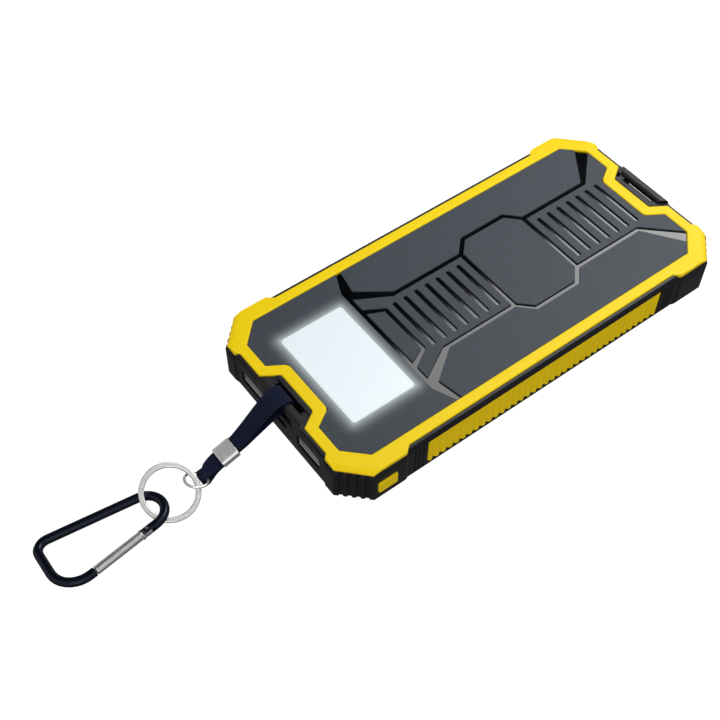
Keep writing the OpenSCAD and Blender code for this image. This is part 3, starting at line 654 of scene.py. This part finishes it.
class SOLARBANK_OT_strap(bpy.types.Operator):
    """Webbing strap, woven and looped round the lanyard bar"""

    bl_idname = "solarbank.strap"
    bl_label = "Strap"

    columns = 8
    width_share = 0.98  # of the webbing's width that the woven band fills
    thickness_share = 0.88  # of its thickness

    def execute(self, context):
        sizes = context.scene.solarbank_lanyard
        route = smooth_route(STRAP_ROUTE, sizes.steps)
        bm = self.band(route, sizes.webbing_thickness * self.thickness_share)
        rounded(bm, sharp_edges(bm, 60), 0.2, 2, clamp=True)
        strap = piece_from(bm, "strap_webbing", "webbing", "case", 50)
        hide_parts("strap")
        return {"FINISHED"}

    def band(self, route, thickness):
        """A band along the route, with UVs in metres across and along it for its weave."""
        bm = bmesh.new()
        weave = bm.loops.layers.uv.new("weave")
        bmesh.ops.create_grid(bm, x_segments=self.columns, y_segments=len(route) - 1, size=1.0)
        rows = {y: i for i, y in enumerate(sorted({round(v.co.y, 5) for v in bm.verts}))}
        along = [0.0]
        for a, b in zip(route, route[1:]):
            along.append(along[-1] + math.dist(a[:2], b[:2]))
        flat = {}
        for v in bm.verts:
            i = rows[round(v.co.y, 5)]
            y, z, x, width = route[i]
            across = v.co.x * width / 2
            before, after = route[max(0, i - 1)], route[min(len(route) - 1, i + 1)]
            run = Vector((0, after[0] - before[0], after[1] - before[1])).normalized()
            up = Vector((0, -run.z, run.y))
            v.co = Vector((x + across * self.width_share, y, z)) - up * (thickness / 2)
            flat[v.index] = (across, along[i])
        for face in bm.faces:
            for loop in face.loops:
                loop[weave].uv = flat[loop.vert.index]
        bmesh.ops.recalc_face_normals(bm, faces=bm.faces)
        bmesh.ops.solidify(bm, geom=bm.faces[:] + bm.edges[:] + bm.verts[:], thickness=-thickness)
        bmesh.ops.recalc_face_normals(bm, faces=bm.faces)
        return bm


class SOLARBANK_OT_lanyard(bpy.types.Operator):
    """Crimp, rings and carabiner"""

    bl_idname = "solarbank.lanyard"
    bl_label = "Rings and carabiner"

    def execute(self, context):
        eased("strap_crimp", "crimp", "nickel", 0.2, 3, cuts=((X_AXIS, -0.66),))
        smooth_copy("small_ring", "ring_small", "nickel", 0.05)
        eased("split_ring", "ring_split", "nickel", 0.12, cuts=((X_AXIS, -0.19),))
        smooth_copy("carabiner_body", "snap_hook", "anodised", 0.05)
        eased("carabiner_gate", "snap_gate", "bare", 0.3)
        eased("gate_pin", "snap_pin", "steel", 0.12)
        return {"FINISHED"}


# ---------------------------------------------------------------- case


class SOLARBANK_OT_case(bpy.types.Operator):
    """Shells, coloured frames, seal and screws"""

    bl_idname = "solarbank.case"
    bl_label = "Case"

    # Where flat areas with holes are divided: just off the middle, just off the middle of each large
    # port, and inside one side of the end notches
    middle = ((X_AXIS, 0.07), (Y_AXIS, 0.07))
    openings = ((X_AXIS, 17.37), (X_AXIS, -17.37), (X_AXIS, 9.1))
    joint_height = 9

    def execute(self, context):
        sizes = context.scene.solarbank_case
        make_materials(hexed(sizes.frame_colour), hexed(sizes.face_colour))
        for part in ("upper", "lower"):
            eased(part + "_shell", "shell_" + part, "shell", sizes.shell_edge,
                  cuts=self.middle + self.openings, plain=self.joint_height)
        for part in ("upper", "lower"):
            eased(part + "_frame", "frame_" + part, "yellow", sizes.frame_edge, 3, 40,
                  cuts=self.middle)
        give(NODES["shell_seal"], "seal")
        give(NODES["case_screws"], "steel")
        return {"FINISHED"}


class SOLARBANK_OT_face(bpy.types.Operator):
    """Face plates over the polished groove floor"""

    bl_idname = "solarbank.face"
    bl_label = "Face plates"

    plates = ("lamp_plate", "lamp_trim_plate", "front_slotted_plate", "centre_plate",
              "rear_slotted_plate", "left_face_plate", "right_face_plate")
    cuts = ((X_AXIS, 0.07), (Y_AXIS, -59.6))

    def execute(self, context):
        sizes = context.scene.solarbank_case
        give(NODES["face_base"], "gloss")
        for node in self.plates:
            eased(node, "face_" + node, "face", sizes.plate_edge, 2, 40, cuts=self.cuts)
        return {"FINISHED"}


class SOLARBANK_OT_lamp(bpy.types.Operator):
    """Lens, light-emitting diodes and their board"""

    bl_idname = "solarbank.lamp"
    bl_label = "Lamp"

    def execute(self, context):
        eased("lamp_lens", "lens", "lens", 0.3, 3)
        give(NODES["lamp_board"], "white_board")
        give(NODES["lamp_leds"], "led")
        give(NODES["lamp_wires"], "wire")
        return {"FINISHED"}


class SOLARBANK_OT_panel(bpy.types.Operator):
    """Solar cells under their cover glass"""

    bl_idname = "solarbank.panel"
    bl_label = "Solar panel"

    def execute(self, context):
        eased("solar_cover", "glass_cover", "cover_glass", 0.15, 2, 40)
        give(NODES["solar_cells"], "cell")
        give(NODES["solar_backing"], "white_board")
        give(NODES["solar_wires"], "wire")
        return {"FINISHED"}


class SOLARBANK_OT_grips(bpy.types.Operator):
    """Ribbed side grips"""

    bl_idname = "solarbank.grips"
    bl_label = "Side grips"

    def execute(self, context):
        for side in ("left", "right"):
            smooth_copy(side + "_grip", "grip_" + side, "grip", angle=32)
        return {"FINISHED"}


class SOLARBANK_OT_ports(bpy.types.Operator):
    """Charging ports, with their contacts, and the power button"""

    bl_idname = "solarbank.ports"
    bl_label = "Ports and button"

    contact_size = (1.0 * MM, 7.5 * MM, 0.16 * MM)
    contact_pitch = 2.3 * MM
    contact_back = 4.8 * MM  # from the tongue's tip to a contact's middle
    contact_height = 7.31 * MM
    mark_radius = 1.15 * MM
    mark_half_width = 0.12 * MM
    mark_half_rise = 0.05 * MM
    mark_inset = 0.12 * MM  # from the button's outermost point to the ring's middle

    def execute(self, context):
        for side in ("left", "right"):
            self.mouth("usb_shell_" + side, "port_shell_" + side, 0.08)
            tongue = "usb_core_" + side
            eased(tongue, "port_tongue_" + side, "tongue", 0.1, 1)
            self.contacts(tongue, side)
        self.mouth("micro_usb_shell", "port_shell_small", 0.06)
        give(NODES["micro_usb_core"], "black")
        eased("power_button", "button_power", "grip", 0.35, 3, 40)
        self.mark()
        return {"FINISHED"}

    def mouth(self, node, name, radius):
        """A port's shell, its front divided just beside its middle."""
        low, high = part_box(node)
        middle = (low[0] + high[0]) / 2 / MM
        eased(node, name, "nickel", radius, 1, cuts=((X_AXIS, middle + 0.02),))

    def contacts(self, node, side):
        """Four spring contacts under the tongue."""
        low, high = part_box(node)
        middle = (low[0] + high[0]) / 2
        bm = bmesh.new()
        for turn in (-1.5, -0.5, 0.5, 1.5):
            made = bmesh.ops.create_cube(bm, size=1.0)["verts"]
            place = (middle + turn * self.contact_pitch, low[1] + self.contact_back, self.contact_height)
            bmesh.ops.scale(bm, verts=made, vec=self.contact_size)
            bmesh.ops.translate(bm, verts=made, vec=place)
        rounded(bm, bm.edges[:], 0.03, 1)
        made = piece_from(bm, "port_contacts_" + side, "contact", "case")

    def mark(self):
        """An on-off mark, part of a ring with a bar."""
        low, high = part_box("power_button")
        x, y, z = high[0], (low[1] + high[1]) / 2, (low[2] + high[2]) / 2
        bm = bmesh.new()
        corners = ((-1, -1), (1, -1), (1, 1), (-1, 1))
        start = [bm.verts.new((x - self.mark_inset + b * self.mark_half_rise,
                               y + self.mark_radius + a * self.mark_half_width, z))
                 for a, b in corners]
        face = bm.faces.new(start)
        bmesh.ops.rotate(bm, verts=start, cent=(x, y, z),
                         matrix=Matrix.Rotation(math.radians(125), 3, "X"))
        bmesh.ops.spin(bm, geom=[face] + face.edges[:] + start, cent=(x, y, z), axis=(1, 0, 0),
                       angle=math.radians(290), steps=24, use_duplicate=False)
        bmesh.ops.recalc_face_normals(bm, faces=bm.faces)
        bar = bmesh.ops.create_cube(bm, size=1.0)["verts"]
        bmesh.ops.scale(bm, verts=bar, vec=(0.1 * MM, 0.24 * MM, 1.2 * MM))
        bmesh.ops.translate(bm, verts=bar, vec=(x - 0.06 * MM, y, z + 0.8 * MM))
        made = piece_from(bm, "button_mark", "shell", "button")


class SOLARBANK_OT_inside(bpy.types.Operator):
    """Cells, boards and parts inside the case"""

    bl_idname = "solarbank.inside"
    bl_label = "Inside"

    parts = (
        ("battery_left", "pouch"), ("battery_right", "pouch"), ("battery_pads", "foam"),
        ("battery_wires", "wire"), ("main_board", "board"), ("charge_chips", "black"),
        ("coils", "ferrite"), ("capacitors", "can"), ("power_switch", "black"),
        ("switch_plunger", "tongue"))

    def execute(self, context):
        for node, key in self.parts:
            give(NODES[node], key)
        return {"FINISHED"}


class SOLARBANK_PT_pieces(bpy.types.Panel):
    """Every piece of the power bank"""

    bl_label = "Solar power bank"
    bl_idname = "SOLARBANK_PT_pieces"
    bl_space_type = "VIEW_3D"
    bl_region_type = "UI"
    bl_category = "Power bank"

    def draw(self, context):
        scene = context.scene
        for group in (scene.solarbank_stage, scene.solarbank_case, scene.solarbank_lanyard):
            box = self.layout.box()
            for name in group.bl_rna.properties.keys():
                if name not in ("rna_type", "name"):
                    box.prop(group, name)
        for operator in OPERATORS:
            self.layout.operator(operator.bl_idname)


OPERATORS = (
    SOLARBANK_OT_stage,
    SOLARBANK_OT_case,
    SOLARBANK_OT_lanyard,
    SOLARBANK_OT_strap,
    SOLARBANK_OT_face,
    SOLARBANK_OT_lamp,
    SOLARBANK_OT_panel,
    SOLARBANK_OT_grips,
    SOLARBANK_OT_ports,
    SOLARBANK_OT_inside,
)
CLASSES = (StageSizes, CaseSizes, LanyardSizes) + OPERATORS + (SOLARBANK_PT_pieces,)


def register():
    for made in CLASSES:
        bpy.utils.register_class(made)
    bpy.types.Scene.solarbank_stage = PointerProperty(type=StageSizes)
    bpy.types.Scene.solarbank_case = PointerProperty(type=CaseSizes)
    bpy.types.Scene.solarbank_lanyard = PointerProperty(type=LanyardSizes)


def unregister():
    del bpy.types.Scene.solarbank_lanyard
    del bpy.types.Scene.solarbank_case
    del bpy.types.Scene.solarbank_stage
    for made in reversed(CLASSES):
        bpy.utils.unregister_class(made)


def main():
    register()
    for operator in OPERATORS:
        getattr(bpy.ops.solarbank, operator.bl_idname.split(".")[1])()


if __name__ == "__main__":
    main()
